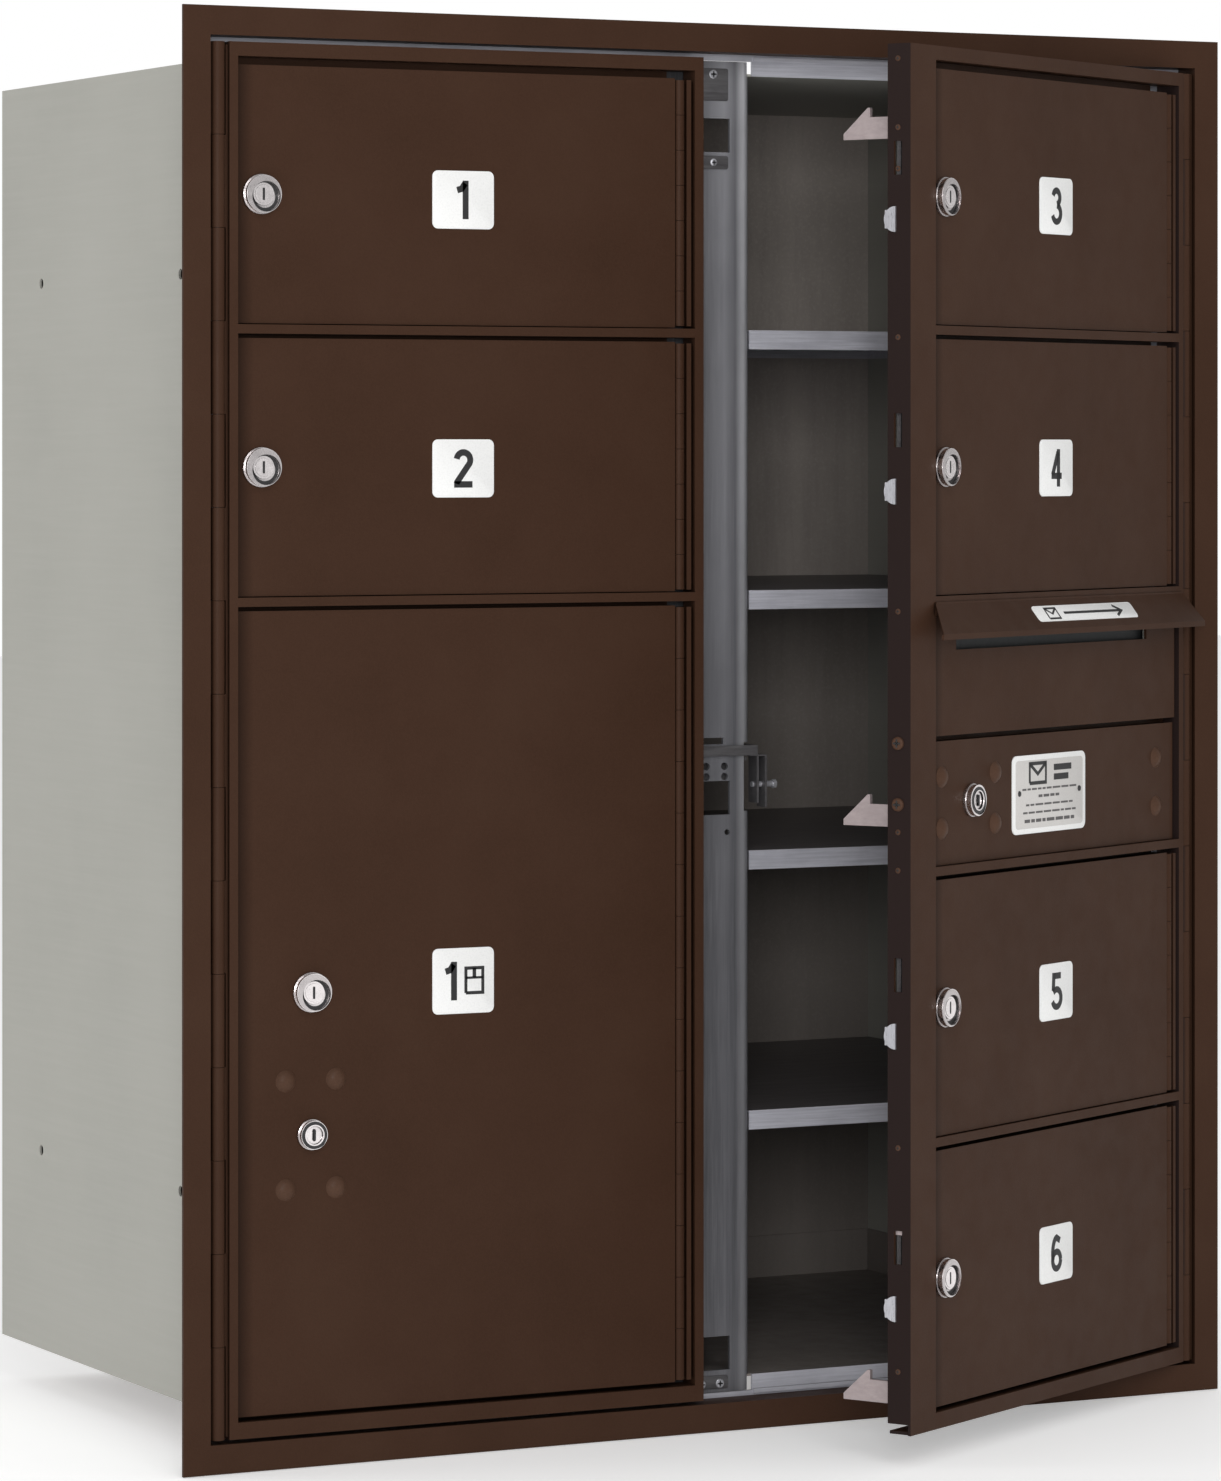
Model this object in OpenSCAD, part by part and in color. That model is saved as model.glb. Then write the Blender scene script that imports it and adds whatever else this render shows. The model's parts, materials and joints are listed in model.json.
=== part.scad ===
// Recess-mounted cluster mailbox unit: two columns, ten units high, front loading.
// Origin: mid-width of the wall opening, on the wall's face, at the sill that the box stands on.
// X runs to the right, Y into the wall and Z up, all in millimetres.

/* [Cabinet] */
// Height of one mail unit
unit_pitch = 88.9; // [85:0.1:92]
// Width of the sheet box that goes into the wall
box_width = 710.6; // [700:0.1:716]
// Depth from the front of the trim to the back of the box
overall_depth = 431.8; // [300:0.1:600]
// Sheet thickness of the box panels
panel_sheet = 1.6; // [1.2:0.1:2]

/* [Trim] */
// Overall width of the trim frame
trim_width = 790.6; // [788:0.1:796]
// How far the trim reaches above and below the box
trim_overhang = 31.75; // [30:0.25:36]
// Visible width of the trim flange
flange_width = 19.05; // [18:0.05:20]
// Thickness of the trim flange
flange_sheet = 2.5; // [2:0.1:3]

/* [Master doors] */
// Angle at which the right master door stands open
right_door_open = 29.4; // [0:0.1:60]
// Front-to-back depth of a master door
door_depth = 17.4; // [16.5:0.1:17.6]
// Wall thickness of the master door frames
door_wall = 2; // [1.5:0.1:2]
// Width of the right master door's free stile
wide_stile = 32.5; // [30:0.5:33]
// Diameter of the master hinge barrel
master_barrel = 9.6; // [8:0.1:9.6]

/* [Compartment doors] */
// Depth of a compartment door pan
pan_depth = 12; // [10:0.5:12.5]
// Diameter of a compartment hinge barrel
small_barrel = 7.6; // [6:0.1:7.6]
// Distance from a compartment door's free edge to its lock
lock_inset = 12.2; // [12:0.1:18]

/* [Locks] */
// Diameter of the lock plug
plug_diameter = 12; // [10:0.5:13]
// Travel of the latch bar
latch_travel = 7; // [4:0.5:7.5]

/* [Hidden] */
$fn = 48;
box_height = 10 * unit_pitch;
box_back = overall_depth - flange_sheet;
box_half = box_width / 2;
trim_half = trim_width / 2;
opening_half = trim_half - flange_width;
opening_low = flange_width - trim_overhang;
opening_high = box_height + trim_overhang - flange_width;
door_front = 1 - flange_sheet;
door_back = door_front + door_depth;
frame_front = door_back + 3.4;
frame_sheet = 2;
box_front = frame_front + frame_sheet;
jamb_sheet = 2;

door_low = opening_low + 2.5;
door_high = opening_high - 3.9;
door_height = door_high - door_low;
stop_reach = 5.5;
stop_sheet = 1.5;
end_rail = 9.2;
foot_rail = 10.8;
divider = 6;
thin_stile = 6;

left_door_x = -362.5;
left_door_end = -15;
right_door_x = -12;
right_door_end = 362.5;
master_axis_x = 369.5;
master_axis_y = 2.5;
master_knuckles = 15;
pin_slack = 0.05;
master_pin = 1.7;
small_pin = 1.4;
knuckle_gap = 0.3;

pan_front = 0.5;
pan_sheet = 2;
pan_width = 320;
left_pan_x = left_door_x + thin_stile + 0.8;
right_pan_x = right_door_x + wide_stile + 1.2;
axis_gap = 4.4;
small_axis_y = 3.5;
pan_rise = 3.7;
pan_drop = 5.9;

left_lines = [0, 6, 8, 10];
right_lines = [0, 2, 4, 6, 8, 10];
left_locks_x = left_pan_x + lock_inset + 3.8;
right_locks_x = right_pan_x + lock_inset;
bezel = 13;
shank = 8.6;
plug_front = pan_front - 5.2;
cam_front = door_back + 0.6;
cam_sheet = 2;
parcel_lock = [-304, 278];
carrier_lock = [-304, 185];
master_lock = [72, 4.5 * unit_pitch];
bolt_spread = [36, 71];

post_left = -44;
post_right = 33;
post_depth = 26;
post_sheet = 2.5;
post_corner = 8;
post_low = -9;
post_high = 897;
window_left = -12;
window_right = 16;
window_height = 23;
windows = [6, 384, 835];
hook_x = 0;
hook_sheet = 3;
strike_y = 32;
crank = 3.5;
bar_x = -5;
bar_width = 14;
bar_y = 10;

shelf_sheet = 1.2;
shelf_front = 24;
shelf_lip = 13;
shelf_rear_lip = 12;
partition_x = -7;
pan_lip = 33;
fixing_spacing = [254, 609.6];
fixing_radius = 3.6;

steel_grey = [0.64, 0.63, 0.6];
bronze = [0.26, 0.18, 0.14];
bare_metal = [0.66, 0.67, 0.7];
dull_metal = [0.42, 0.4, 0.38];
chrome_colour = [0.8, 0.8, 0.82];
hook_colour = [0.62, 0.54, 0.54];
rubber_black = [0.05, 0.05, 0.05];

// ---------- shared shapes ----------

// A block given by its low and high corners.
module block(low, high) {
    translate(low) cube(high - low);
}

// A round bar along Y from y0 to y1.
module bar_along_y(radius, y0, y1) {
    translate([0, y0, 0]) rotate([-90, 0, 0]) cylinder(r = radius, h = y1 - y0);
}

// A channel that is open to the rear, with closed ends.
module rear_channel(low, high, wall) {
    difference() {
        block(low, high);
        block(low + [wall, wall, wall], [high.x - wall, high.y + 1, high.z - wall]);
    }
}

// Every second knuckle of a hinge barrel. A web, given by its low and high corners, joins each to its leaf.
module knuckles(z0, z1, count, first, radius, pin, web_low, web_high) {
    pitch = (z1 - z0) / count;
    for (i = [first : 2 : count - 1]) {
        translate([0, 0, z0 + i * pitch + knuckle_gap / 2]) difference() {
            union() {
                cylinder(r = radius, h = pitch - knuckle_gap);
                block([web_low.x, web_low.y, 0], [web_high.x, web_high.y, pitch - knuckle_gap]);
            }
            translate([0, 0, -1]) cylinder(r = pin + pin_slack, h = pitch + 2);
        }
    }
}

// Turns what belongs to the right master door to where that door stands.
module on_right_door() {
    translate([master_axis_x, master_axis_y, 0])
        rotate([0, 0, right_door_open])
            translate([-master_axis_x, -master_axis_y, 0]) children();
}

function span_low(line) = line * unit_pitch + pan_rise;
function span_high(line) = line * unit_pitch - pan_drop;
function span_middle(low_line, high_line) = (span_low(low_line) + span_high(high_line)) / 2;

// ---------- box ----------

// A side panel with the four holes that fix the unit to the studs.
module side_panel(side) {
    fixing_y = (box_front + box_back) / 2;
    fixing_z = box_height / 2;
    color(steel_grey) difference() {
        block([side * box_half - (side > 0 ? panel_sheet : 0), box_front, 0],
              [side * box_half + (side < 0 ? panel_sheet : 0), box_back, box_height]);
        for (dy = [-0.5, 0.5], dz = [-0.5, 0.5])
            translate([side * box_half, fixing_y + dy * fixing_spacing.x, fixing_z + dz * fixing_spacing.y])
                rotate([0, 90, 0]) cylinder(r = fixing_radius, h = 8, center = true);
    }
}

module side_panel_left() { side_panel(-1); }
module side_panel_right() { side_panel(1); }

module top_panel() {
    inner = box_half - panel_sheet;
    color(steel_grey)
        block([-inner, box_front, box_height - panel_sheet], [inner, box_back, box_height]);
}

// Floor of the box, with lips turned up along its sides and its back.
module bottom_pan() {
    inner = box_half - panel_sheet;
    color(dull_metal) {
        block([-inner, box_front, 0], [inner, box_back, panel_sheet]);
        for (side = [-1, 1]) {
            low = side > 0 ? inner - panel_sheet : -inner;
            block([low, box_front + 20, 0], [low + panel_sheet, box_back - panel_sheet, pan_lip]);
        }
        block([-inner, box_back - 2 * panel_sheet, 0], [inner, box_back - panel_sheet, pan_lip]);
    }
}

module back_panel() {
    inner = box_half - panel_sheet;
    color(dull_metal)
        block([-inner, box_back - panel_sheet, panel_sheet], [inner, box_back, box_height - panel_sheet]);
}

// Flat ring of bare sheet that joins the box to the trim's jambs.
module front_frame() {
    inner = box_half - panel_sheet;
    color(bare_metal) difference() {
        union() {
            block([-opening_half, frame_front, opening_low], [opening_half, box_front, opening_high]);
            for (z = [opening_low + 1.4, opening_high - 4.4])
                block([post_right + 1, frame_front - 1.5, z], [opening_half - 10, frame_front, z + 3]);
        }
        block([-inner, frame_front - 3, panel_sheet], [inner, box_front + 1, box_height - panel_sheet]);
        block([post_left - 0.3, frame_front - 3, post_low - 0.3], [post_right + 0.3, box_front + 1, post_high + 0.3]);
    }
}

// ---------- trim ----------

// The whole trim ring: a front flange and the jamb behind its inner edge.
module trim_ring() {
    low = -trim_overhang;
    high = box_height + trim_overhang;
    difference() {
        union() {
            block([-trim_half, -flange_sheet, low], [trim_half, 0, high]);
            block([-opening_half - jamb_sheet, -flange_sheet, opening_low - jamb_sheet],
                  [opening_half + jamb_sheet, box_front, opening_high + jamb_sheet]);
        }
        block([-opening_half, -flange_sheet - 1, opening_low], [opening_half, box_front + 1, opening_high]);
    }
}

// One mitred side of the trim, 0 right, 1 top, 2 left, 3 bottom.
module trim_side(side) {
    low = -trim_overhang;
    high = box_height + trim_overhang;
    deep = 60;
    corners = [[trim_half, low], [trim_half, high], [-trim_half, high], [-trim_half, low]];
    inward = [[-1, 1], [-1, -1], [1, -1], [1, 1]];
    a = side;
    b = (side + 1) % 4;
    color(bronze) intersection() {
        trim_ring();
        translate([0, 100, 0]) rotate([90, 0, 0]) linear_extrude(200)
            polygon([corners[a], corners[b], corners[b] + deep * inward[b], corners[a] + deep * inward[a]]);
    }
}

module trim_right() { trim_side(0); }
module trim_top() { trim_side(1); }
module trim_left() { trim_side(2); }
module trim_bottom() { trim_side(3); }

// ---------- inside the box ----------

// Outline of the post: a channel with rounded front corners, open to the rear.
module post_outline() {
    width = post_right - post_left;
    difference() {
        union() {
            translate([0, post_corner]) square([width, post_depth - post_corner]);
            translate([post_corner, 0]) square([width - 2 * post_corner, post_depth]);
            for (x = [post_corner, width - post_corner])
                translate([x, post_corner]) circle(r = post_corner);
        }
        translate([post_sheet, post_sheet]) square([width - 2 * post_sheet, post_depth]);
    }
}

// Centre post that both master doors close against, with its latch windows and lever slots.
module centre_post() {
    face = frame_front - 1;
    past = frame_front + post_sheet + 3;
    stud_z = 427.5;
    color(bare_metal) difference() {
        translate([post_left, frame_front, post_low]) linear_extrude(post_high - post_low) post_outline();
        for (z = windows)
            block([window_left, face, z], [window_right, past, z + window_height]);
        block([-38, face, 416], [-18, past, 439]);
        block([-14, face, 432], [11, past, 436.5]);
        block([-16, face, stud_z - 2.05], [18, past, stud_z + 2.05]);
        for (x = [-2, 12], z = [410, 417])
            translate([x, 0, z]) bar_along_y(2.6, face, past);
        translate([14, 0, 372]) bar_along_y(2, face, past);
        block([27, face, 386], [post_right + 1, 38, 433]);
        for (z = [[post_low - 1, panel_sheet], [box_height - panel_sheet, post_high + 1]])
            block([post_left - 1, box_front, z[0]], [post_right + 1, frame_front + post_depth + 1, z[1]]);
    }
}

// Angle plates inside the post that the raised hooks catch behind.
module strike_plates() {
    inside = frame_front + post_sheet;
    left = window_left - 2;
    right = post_right - post_sheet;
    color(bare_metal) for (z = windows) {
        low = z + window_height + 0.5;
        block([left, strike_y, low], [right, strike_y + 2.5, low + 15]);
        block([left, inside, low + 13], [right, strike_y, low + 15]);
    }
}

module centre_partition() {
    color(dull_metal) {
        block([partition_x, frame_front + post_depth + 1, panel_sheet],
              [partition_x + panel_sheet, box_back - 2 * panel_sheet, box_height - panel_sheet]);
    }
}

// A shelf with lips turned down at its front, its back and its two sides.
module shelf(line, side) {
    z = line * unit_pitch + 3;
    wall = side * (box_half - panel_sheet - 0.4);
    post = side > 0 ? post_right + 0.6 : post_left - 0.6;
    middle = side > 0 ? partition_x + panel_sheet + 0.4 : partition_x - 0.4;
    behind = frame_front + post_depth + 1;
    back = box_back - 2 * panel_sheet - 0.4;
    translate([0, 0, z - shelf_sheet]) linear_extrude(shelf_sheet)
        polygon([[wall, shelf_front], [post, shelf_front], [post, behind], [middle, behind],
                 [middle, back], [wall, back]]);
    front_low = min(wall, post);
    front_high = max(wall, post);
    back_low = min(wall, middle);
    back_high = max(wall, middle);
    block([front_low, shelf_front, z - shelf_lip], [front_high, shelf_front + shelf_sheet, z]);
    block([back_low, back - shelf_sheet, z - shelf_rear_lip], [back_high, back, z]);
    edge = side > 0 ? wall - shelf_sheet : wall;
    block([edge, shelf_front, z - shelf_rear_lip], [edge + shelf_sheet, back, z]);
}

module left_shelves() {
    color(bare_metal) for (line = [6, 8]) shelf(line, -1);
}

module right_shelves() {
    color(bare_metal) for (line = [2, 4, 6, 8]) shelf(line, 1);
}

// ---------- master door hinges ----------

// The jamb's half of each master hinge: a leaf and every second knuckle.
module cabinet_hinge_leaves() {
    color(bronze) for (side = [-1, 1]) {
        face = side * opening_half;
        leaf = face - side * 1.5;
        reach = opening_half - master_axis_x - 1;
        block([min(face, leaf), master_axis_y - 1, door_low], [max(face, leaf), frame_front - 0.4, door_high]);
        translate([side * master_axis_x, master_axis_y, 0])
            knuckles(door_low, door_high, master_knuckles, 0, master_barrel / 2, master_pin,
                     [side > 0 ? 0 : -reach, -1], [side > 0 ? reach : 0, 1]);
    }
}

module cabinet_hinge_pins() {
    color(dull_metal) for (side = [-1, 1])
        translate([side * master_axis_x, master_axis_y, door_low])
            cylinder(r = master_pin, h = door_height);
}

// The door's half of a master hinge.
module door_hinge_leaf(side) {
    edge = side * right_door_end;
    leaf = edge + side * 1.5;
    reach = master_axis_x - right_door_end - 1;
    block([min(edge, leaf), master_axis_y - 1, door_low + 2],
          [max(edge, leaf), master_axis_y + 11, door_high - 2]);
    translate([side * master_axis_x, master_axis_y, 0])
        knuckles(door_low, door_high, master_knuckles, 1, master_barrel / 2, master_pin,
                 [side > 0 ? -reach : 0, -1], [side > 0 ? 0 : reach, 1]);
}

// ---------- release lever ----------

// Sliding bar on the post that holds the left master door shut, with its finger clevis.
module release_lever() {
    bar_back = frame_front - 0.6;
    bar_front = bar_back - 2;
    color(dull_metal) {
        block([-21.5, bar_front, 424], [36.3, bar_back, 431]);
        block([34.6, bar_front, 424], [36.3, 36, 431]);
        for (x = [-7, 12])
            translate([x, 0, 427.5]) bar_along_y(2, bar_back - 0.5, frame_front + post_sheet + 1.5);
        difference() {
            union() {
                block([34.6, 24, 422.9], [47.4, 36, 424]);
                block([39.5, 24, 391], [41.1, 36, 424]);
                block([45.8, 24, 388], [47.4, 36, 424]);
            }
            translate([30, 30, 403.5]) rotate([0, 90, 0]) cylinder(r = 2 + pin_slack, h = 20);
        }
    }
}

module lever_pin() {
    color(bare_metal) {
        translate([38.5, 30, 403.5]) rotate([0, 90, 0]) cylinder(r = 2, h = 17);
        translate([54.5, 30, 403.5]) rotate([0, 90, 0]) cylinder(r = 3, h = 2.4);
    }
}

// ---------- master door frames ----------

// Stiles, rails and dividers of a master door.
module master_frame(x0, x1, left_stile, right_stile, lines) {
    inner_left = x0 + left_stile - 1;
    inner_right = x1 - right_stile + 1;
    rear_channel([x0, door_front, door_low], [x0 + left_stile, door_back, door_high], door_wall);
    rear_channel([x1 - right_stile, door_front, door_low], [x1, door_back, door_high], door_wall);
    rear_channel([inner_left, door_front, door_high - end_rail],
                 [inner_right, door_back, door_high], door_wall);
    rear_channel([inner_left, door_front, door_low],
                 [inner_right, door_back, door_low + foot_rail], door_wall);
    for (line = lines)
        rear_channel([inner_left, door_front, line * unit_pitch - divider / 2],
                     [inner_right, door_back - 3, line * unit_pitch + divider / 2], door_wall);
    stop_front = door_back - 2.5;
    stop_back = stop_front + stop_sheet;
    stop_end = x0 + left_stile + 1 + pan_width;
    block([inner_left, stop_front, door_low + 3], [inner_left + stop_reach, stop_back, door_high - 3]);
    for (line = lines)
        block([inner_left, stop_front - 0.6, line * unit_pitch - divider / 2 - stop_reach],
              [stop_end, stop_back, line * unit_pitch + divider / 2 + stop_reach]);
    block([inner_left, stop_front, door_high - end_rail - stop_reach], [stop_end, stop_back, door_high - end_rail + 2.5]);
    block([inner_left, stop_front, door_low + foot_rail - 2.5], [stop_end, stop_back, door_low + foot_rail + stop_reach]);
}

module left_door_frame() {
    color(bronze) {
        master_frame(left_door_x, left_door_end, thin_stile, thin_stile + 0.5, [6, 8]);
        door_hinge_leaf(-1);
    }
}

// The hook on the left master door that the release lever's bar holds.
module left_door_striker() {
    base = door_back - 1.9;
    color(bare_metal) {
        block([-36, base, 420], [left_door_end - thin_stile - 0.5, door_back, 435]);
        block([-36, base, 420], [-34, frame_front + 6, 435]);
        block([-36, frame_front + 4, 420], [-24, frame_front + 6, 435]);
    }
}

module right_door_frame() {
    low_line = door_low - 1;
    color(bronze) on_right_door() {
        difference() {
            master_frame(right_door_x, right_door_end, wide_stile, thin_stile + 0.5, [2, 4, 6, 8]);
            block([right_door_x - 1, door_front + 2, low_line], [right_door_x + 2.5, door_back + 1, door_low + 7]);
            for (line = [1, 3, 7, 9])
                block([right_door_x - 1, 5, line * unit_pitch + 12], [right_door_x + 3, 11, line * unit_pitch + 34]);
            block([right_door_x + wide_stile - 3, 9, master_lock.y - 11], [right_door_x + wide_stile + 1, 14, master_lock.y + 11]);
        }
        block([right_door_x + wide_stile - 1, pan_front + 10.6, 5 * unit_pitch - 6],
              [right_door_end - thin_stile, door_back - 2.5, 5 * unit_pitch + 3]);
        door_hinge_leaf(1);
    }
}

// ---------- compartment doors ----------

// Number of knuckles on a door that spans the given units.
function knuckle_count(units) = units > 2 ? 15 : 7;

// Fixed leaf, knuckles and pin of one compartment hinge, which ends against the stile.
module compartment_hinge(x, stile, low_line, high_line) {
    z0 = span_low(low_line) + 1;
    z1 = span_high(high_line) - 1;
    count = knuckle_count(high_line - low_line);
    edge = small_barrel / 2 + 0.35;
    translate([x, small_axis_y, 0])
        knuckles(z0, z1, count, 0, small_barrel / 2, small_pin, [0, 2.6], [edge + 1, 3.6]);
    block([x + edge, pan_front - 0.6, z0], [x + edge + 3.4, 14, z1]);
    block([x + edge, 12, z0], [stile, 14, z1]);
    translate([x, small_axis_y, z0]) cylinder(r = small_pin, h = z1 - z0);
}

module left_compartment_hinges() {
    x = left_pan_x + pan_width + axis_gap;
    color(bronze) for (i = [0 : 2])
        compartment_hinge(x, left_door_end - thin_stile - 0.5, left_lines[i], left_lines[i + 1]);
}

module right_compartment_hinges() {
    x = right_pan_x + pan_width + axis_gap;
    color(bronze) on_right_door() for (i = [0, 1, 3, 4])
        compartment_hinge(x, right_door_end - thin_stile - 0.5, right_lines[i], right_lines[i + 1]);
}

// A pressed door pan with its half of the hinge and a hole for each lock.
module compartment_door(x, low_line, high_line, holes) {
    z0 = span_low(low_line);
    z1 = span_high(high_line);
    count = knuckle_count(high_line - low_line);
    color(bronze) {
        difference() {
            rear_channel([x, pan_front, z0], [x + pan_width, pan_front + pan_depth, z1], pan_sheet);
            for (hole = holes)
                translate([hole.x, 0, hole.y]) bar_along_y(hole.z, pan_front - 1, pan_front + pan_sheet + 1);
        }
        translate([x + pan_width + axis_gap, small_axis_y, 0])
            knuckles(z0 + 1, z1 - 1, count, 1, small_barrel / 2, small_pin, [-axis_gap - 1, -1], [0, 1]);
    }
}

module left_door(low_line, high_line) {
    compartment_door(left_pan_x, low_line, high_line,
                     [[left_locks_x, span_middle(low_line, high_line), shank + 0.2]]);
}

module right_door(low_line) {
    on_right_door() compartment_door(right_pan_x, low_line, low_line + 2,
        [[right_locks_x, span_middle(low_line, low_line + 2), shank + 0.2]]);
}

module door_1() { left_door(8, 10); }
module door_2() { left_door(6, 8); }
module door_3() { right_door(8); }
module door_4() { right_door(6); }
module door_5() { right_door(2); }
module door_6() { right_door(0); }

// Centres of the four bolts round the carrier lock.
function parcel_bolt_points() = [for (dx = [-0.5, 0.5], dz = [-0.5, 0.5])
    [carrier_lock.x + dx * bolt_spread.x, carrier_lock.y + dz * bolt_spread.y]];

module parcel_door() {
    bolts = [for (p = parcel_bolt_points()) [p.x, p.y, 3.2]];
    locks = [[parcel_lock.x, parcel_lock.y, shank + 0.2], [carrier_lock.x, carrier_lock.y, 8.2]];
    compartment_door(left_pan_x, 0, 6, concat(bolts, locks));
}

// ---------- locks ----------

// Cylinder lock body: a flange, a shroud cut away low on one side, a shank and a clip round the plug's bore.
module lock_body(centre, rim, shaft, front = pan_front) {
    clip_front = front + pan_sheet + 0.2;
    color(chrome_colour) translate([centre.x, 0, centre.y]) difference() {
        union() {
            bar_along_y(rim, front - 2, front);
            difference() {
                bar_along_y(rim - 0.6, front - 6, front);
                translate([1.6, 0, -1.6]) bar_along_y(rim - 3, front - 7, front - 3);
            }
            bar_along_y(plug_diameter / 2 + 1.4, front - 5, front);
            bar_along_y(shaft, front, door_back + 0.3);
            block([-shaft - 0.2, clip_front, -12.5], [shaft + 0.2, clip_front + 2, 12.5]);
        }
        bar_along_y(plug_diameter / 2 + pin_slack, front - 10, door_back + 1);
    }
}

// Lock plug with its keyway and the cam on its inner end. The cam hangs down when unlocked.
module lock_plug(centre, reach, front = plug_front) {
    color(chrome_colour) translate([centre.x, 0, centre.y]) {
        difference() {
            bar_along_y(plug_diameter / 2, front, cam_front + cam_sheet);
            block([-0.8, front - 1, -4], [0.8, front + 3, 4]);
        }
        block([-5, cam_front, -reach], [5, cam_front + cam_sheet, 0]);
    }
}

module left_lock_body(low_line, high_line) {
    lock_body([left_locks_x, span_middle(low_line, high_line)], bezel, shank);
}

module left_lock_plug(low_line, high_line) {
    lock_plug([left_locks_x, span_middle(low_line, high_line)], 21.5);
}

module right_lock_body(low_line) {
    on_right_door() lock_body([right_locks_x, span_middle(low_line, low_line + 2)], bezel, shank);
}

module right_lock_plug(low_line) {
    on_right_door() lock_plug([right_locks_x, span_middle(low_line, low_line + 2)], 21.5);
}

module lock_1_body() { left_lock_body(8, 10); }
module lock_1_plug() { left_lock_plug(8, 10); }
module lock_2_body() { left_lock_body(6, 8); }
module lock_2_plug() { left_lock_plug(6, 8); }
module lock_3_body() { right_lock_body(8); }
module lock_3_plug() { right_lock_plug(8); }
module lock_4_body() { right_lock_body(6); }
module lock_4_plug() { right_lock_plug(6); }
module lock_5_body() { right_lock_body(2); }
module lock_5_plug() { right_lock_plug(2); }
module lock_6_body() { right_lock_body(0); }
module lock_6_plug() { right_lock_plug(0); }

module parcel_lock_body() { lock_body(parcel_lock, bezel, shank); }
module parcel_lock_plug() { lock_plug(parcel_lock, 55); }
module carrier_lock_body() { lock_body(carrier_lock, 10, 8); }
module carrier_lock_plug() { lock_plug(carrier_lock, 20); }

// Carriage bolts: a domed head, a shank and a nut behind the sheet.
module carriage_bolts(points, front, nut_front) {
    head = 7.2;
    dome = 9.2;
    for (p = points) translate([p.x, 0, p.y]) {
        intersection() {
            translate([0, front + sqrt(dome * dome - head * head), 0]) sphere(r = dome);
            bar_along_y(head, front - 5, front);
        }
        bar_along_y(3, front - 1, nut_front + 5);
        translate([0, nut_front, 0]) rotate([-90, 0, 0]) cylinder(r = 6, h = 3.5, $fn = 6);
    }
}

module parcel_lock_bolts() {
    color(bronze) carriage_bolts(parcel_bolt_points(), pan_front, pan_front + pan_sheet + 2);
}

// Backing plate that the four bolts hold behind the carrier lock.
module parcel_lock_plate() {
    back = pan_front + pan_sheet;
    color(bare_metal) difference() {
        block([carrier_lock.x - 27, back, carrier_lock.y - 46], [carrier_lock.x + 27, back + 2, carrier_lock.y + 46]);
        for (p = parcel_bolt_points()) translate([p.x, 0, p.y]) bar_along_y(3.2, back - 1, back + 3);
        translate([carrier_lock.x, 0, carrier_lock.y]) bar_along_y(15.8, back - 1, back + 3);
    }
}

// ---------- outgoing mail and master lock ----------

panel_right = right_pan_x + pan_width + axis_gap + 6.6;
hood_back = door_front;
hood_top = 6 * unit_pitch - 0.8;
hood_lip_y = door_front - 17;
hood_lip_z = hood_top - 22;
hood_sheet = 1.6;
slot = [50, 312, 500.5, 516];

module outgoing_panel() {
    color(bronze) on_right_door() difference() {
        rear_channel([right_pan_x, pan_front, 5 * unit_pitch - 0.2],
                     [panel_right, pan_front + 10, 6 * unit_pitch - 3.4], pan_sheet);
        block([slot[0], pan_front - 1, slot[2]], [slot[1], pan_front + pan_sheet + 1, slot[3]]);
    }
}

// Sloping rain hood over the slot. Its lip is wider than its root and turns down at the front.
module outgoing_hood() {
    root = [right_pan_x - 2.5, panel_right + 6.5];
    lip = [2, 363];
    color(bronze) on_right_door() {
        hull() {
            block([root[0], hood_back - 0.2, hood_top - hood_sheet], [root[1], hood_back, hood_top]);
            block([lip[0], hood_lip_y, hood_lip_z], [lip[1], hood_lip_y + 0.2, hood_lip_z + hood_sheet]);
        }
        block([lip[0], hood_lip_y, hood_lip_z - 2.2], [lip[1], hood_lip_y + hood_sheet, hood_lip_z + 1]);
        block([root[0], hood_back - 1.2, hood_top - 9], [root[1], hood_back, hood_top]);
        block([right_pan_x + 2, hood_back - 0.5, hood_top - 9], [panel_right - 2, pan_front, hood_top - 5.4]);
    }
}

flap_axis = [7, 520.5];

// Inward-swinging flap that closes the slot from behind.
module outgoing_flap() {
    color(rubber_black) on_right_door() {
        block([slot[0] - 4, flap_axis[0] - 1.2, slot[2] - 8], [slot[1] + 4, flap_axis[0] + 1.2, flap_axis[1]]);
        translate([slot[0] - 4, flap_axis[0], flap_axis[1]]) rotate([0, 90, 0])
            cylinder(r = 2, h = slot[1] - slot[0] + 8);
    }
}

panel_front = pan_front + 1.5;
bolt_rows = [master_lock.y - 17, master_lock.y + 17];
bolt_columns = [34, 104, 328];

module lock_panel() {
    color(bronze) on_right_door() difference() {
        rear_channel([right_pan_x, panel_front, 4 * unit_pitch + 3.4],
                     [panel_right, panel_front + 7.5, 5 * unit_pitch - 3.8], pan_sheet);
        translate([master_lock.x, 0, master_lock.y]) bar_along_y(shank + 0.2, 0, 6);
        for (x = bolt_columns, z = bolt_rows)
            translate([x, 0, z]) bar_along_y(3.2, 0, 6);
    }
}

module lock_panel_bolts() {
    color(bronze) on_right_door()
        carriage_bolts([for (x = bolt_columns, z = bolt_rows) [x, z]], panel_front, panel_front + pan_sheet);
}

module master_lock_body() {
    on_right_door() lock_body(master_lock, 11, shank, panel_front);
}

// The master plug carries a crank pin on its cam that works in the latch bar's slot.
module master_lock_plug() {
    on_right_door() {
        lock_plug(master_lock, 20, plug_front + 1.5);
        color(chrome_colour) translate([master_lock.x - crank, 0, master_lock.y - crank])
            bar_along_y(1.5, cam_front, cam_front + 6.5);
    }
}

// ---------- three-point latch ----------

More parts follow.
